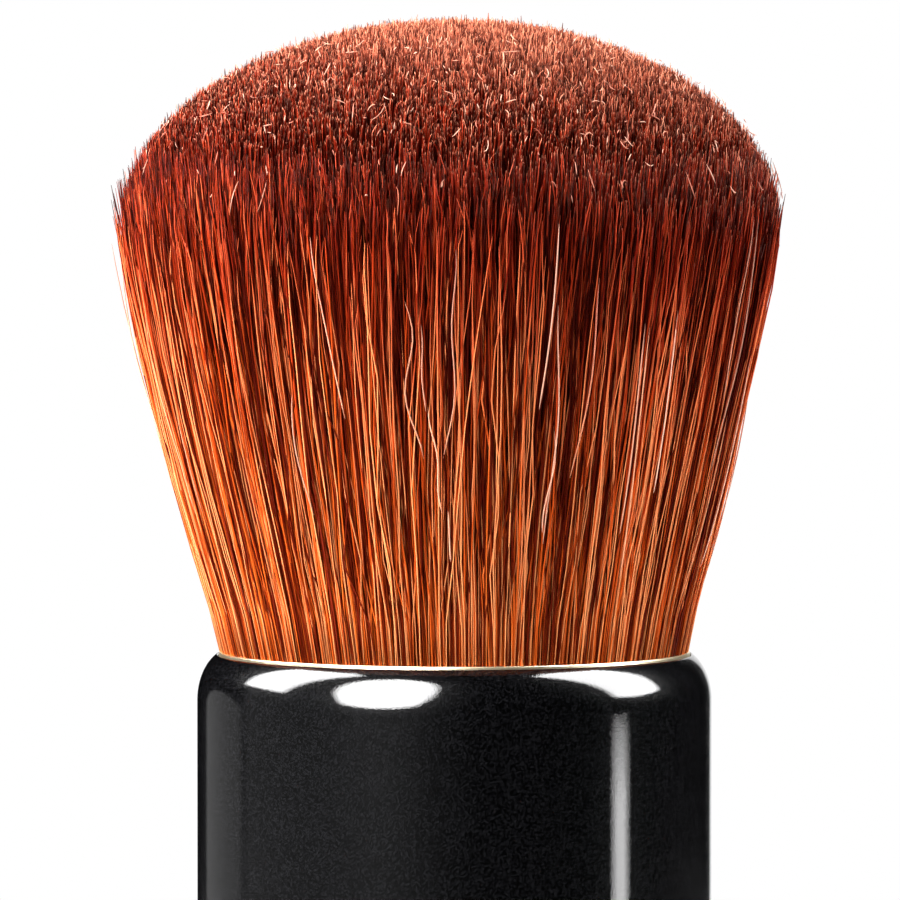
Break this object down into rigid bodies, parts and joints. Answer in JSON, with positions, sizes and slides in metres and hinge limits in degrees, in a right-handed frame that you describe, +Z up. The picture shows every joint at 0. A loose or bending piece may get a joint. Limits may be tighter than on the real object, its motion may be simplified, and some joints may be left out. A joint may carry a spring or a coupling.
{
  "type": "kabuki makeup brush",
  "caption": "Short weighted handle that stands on its base, with a dense domed head of soft bristles for spreading powder on the face.",
  "frame": {"origin": "centre of the flat base that the brush stands on", "axes": "+Z up the brush's axis, from the base to the top of the bristle dome; X and Y are free, because the brush is round"},
  "size_m": [0.0412, 0.0412, 0.0758],
  "materials": {
    "barrel": "black gloss lacquer on aluminium",
    "base_cap": "moulded black ABS, glossy",
    "base_disc": "dark anodised, turned",
    "weight_pad": "closed-cell foam sheet",
    "weight_slug": "turned, zinc plated",
    "handle_liner": "moulded natural ABS",
    "ferrule": "spun, pale gold anodised",
    "ferrule_bond": "cured epoxy",
    "knot_resin": "cured epoxy",
    "binding_cord": "twisted cotton",
    "bristles": "dyed soft filaments, burnt orange to maroon with pale tips"
  },
  "bodies": {
    "root": {"barrel": "barrel", "base_cap": "base_cap", "base_disc": "base_disc", "weight_pad": "weight_pad", "weight_slug": "weight_slug", "handle_liner": "handle_liner", "ferrule": "ferrule", "ferrule_bond": "ferrule_bond", "knot_resin": "knot_resin", "binding_cord": "binding_cord", "bristles_core": "bristles", "bristles_middle": "bristles", "bristles_outer": "bristles"}
  },
  "joints": []
}
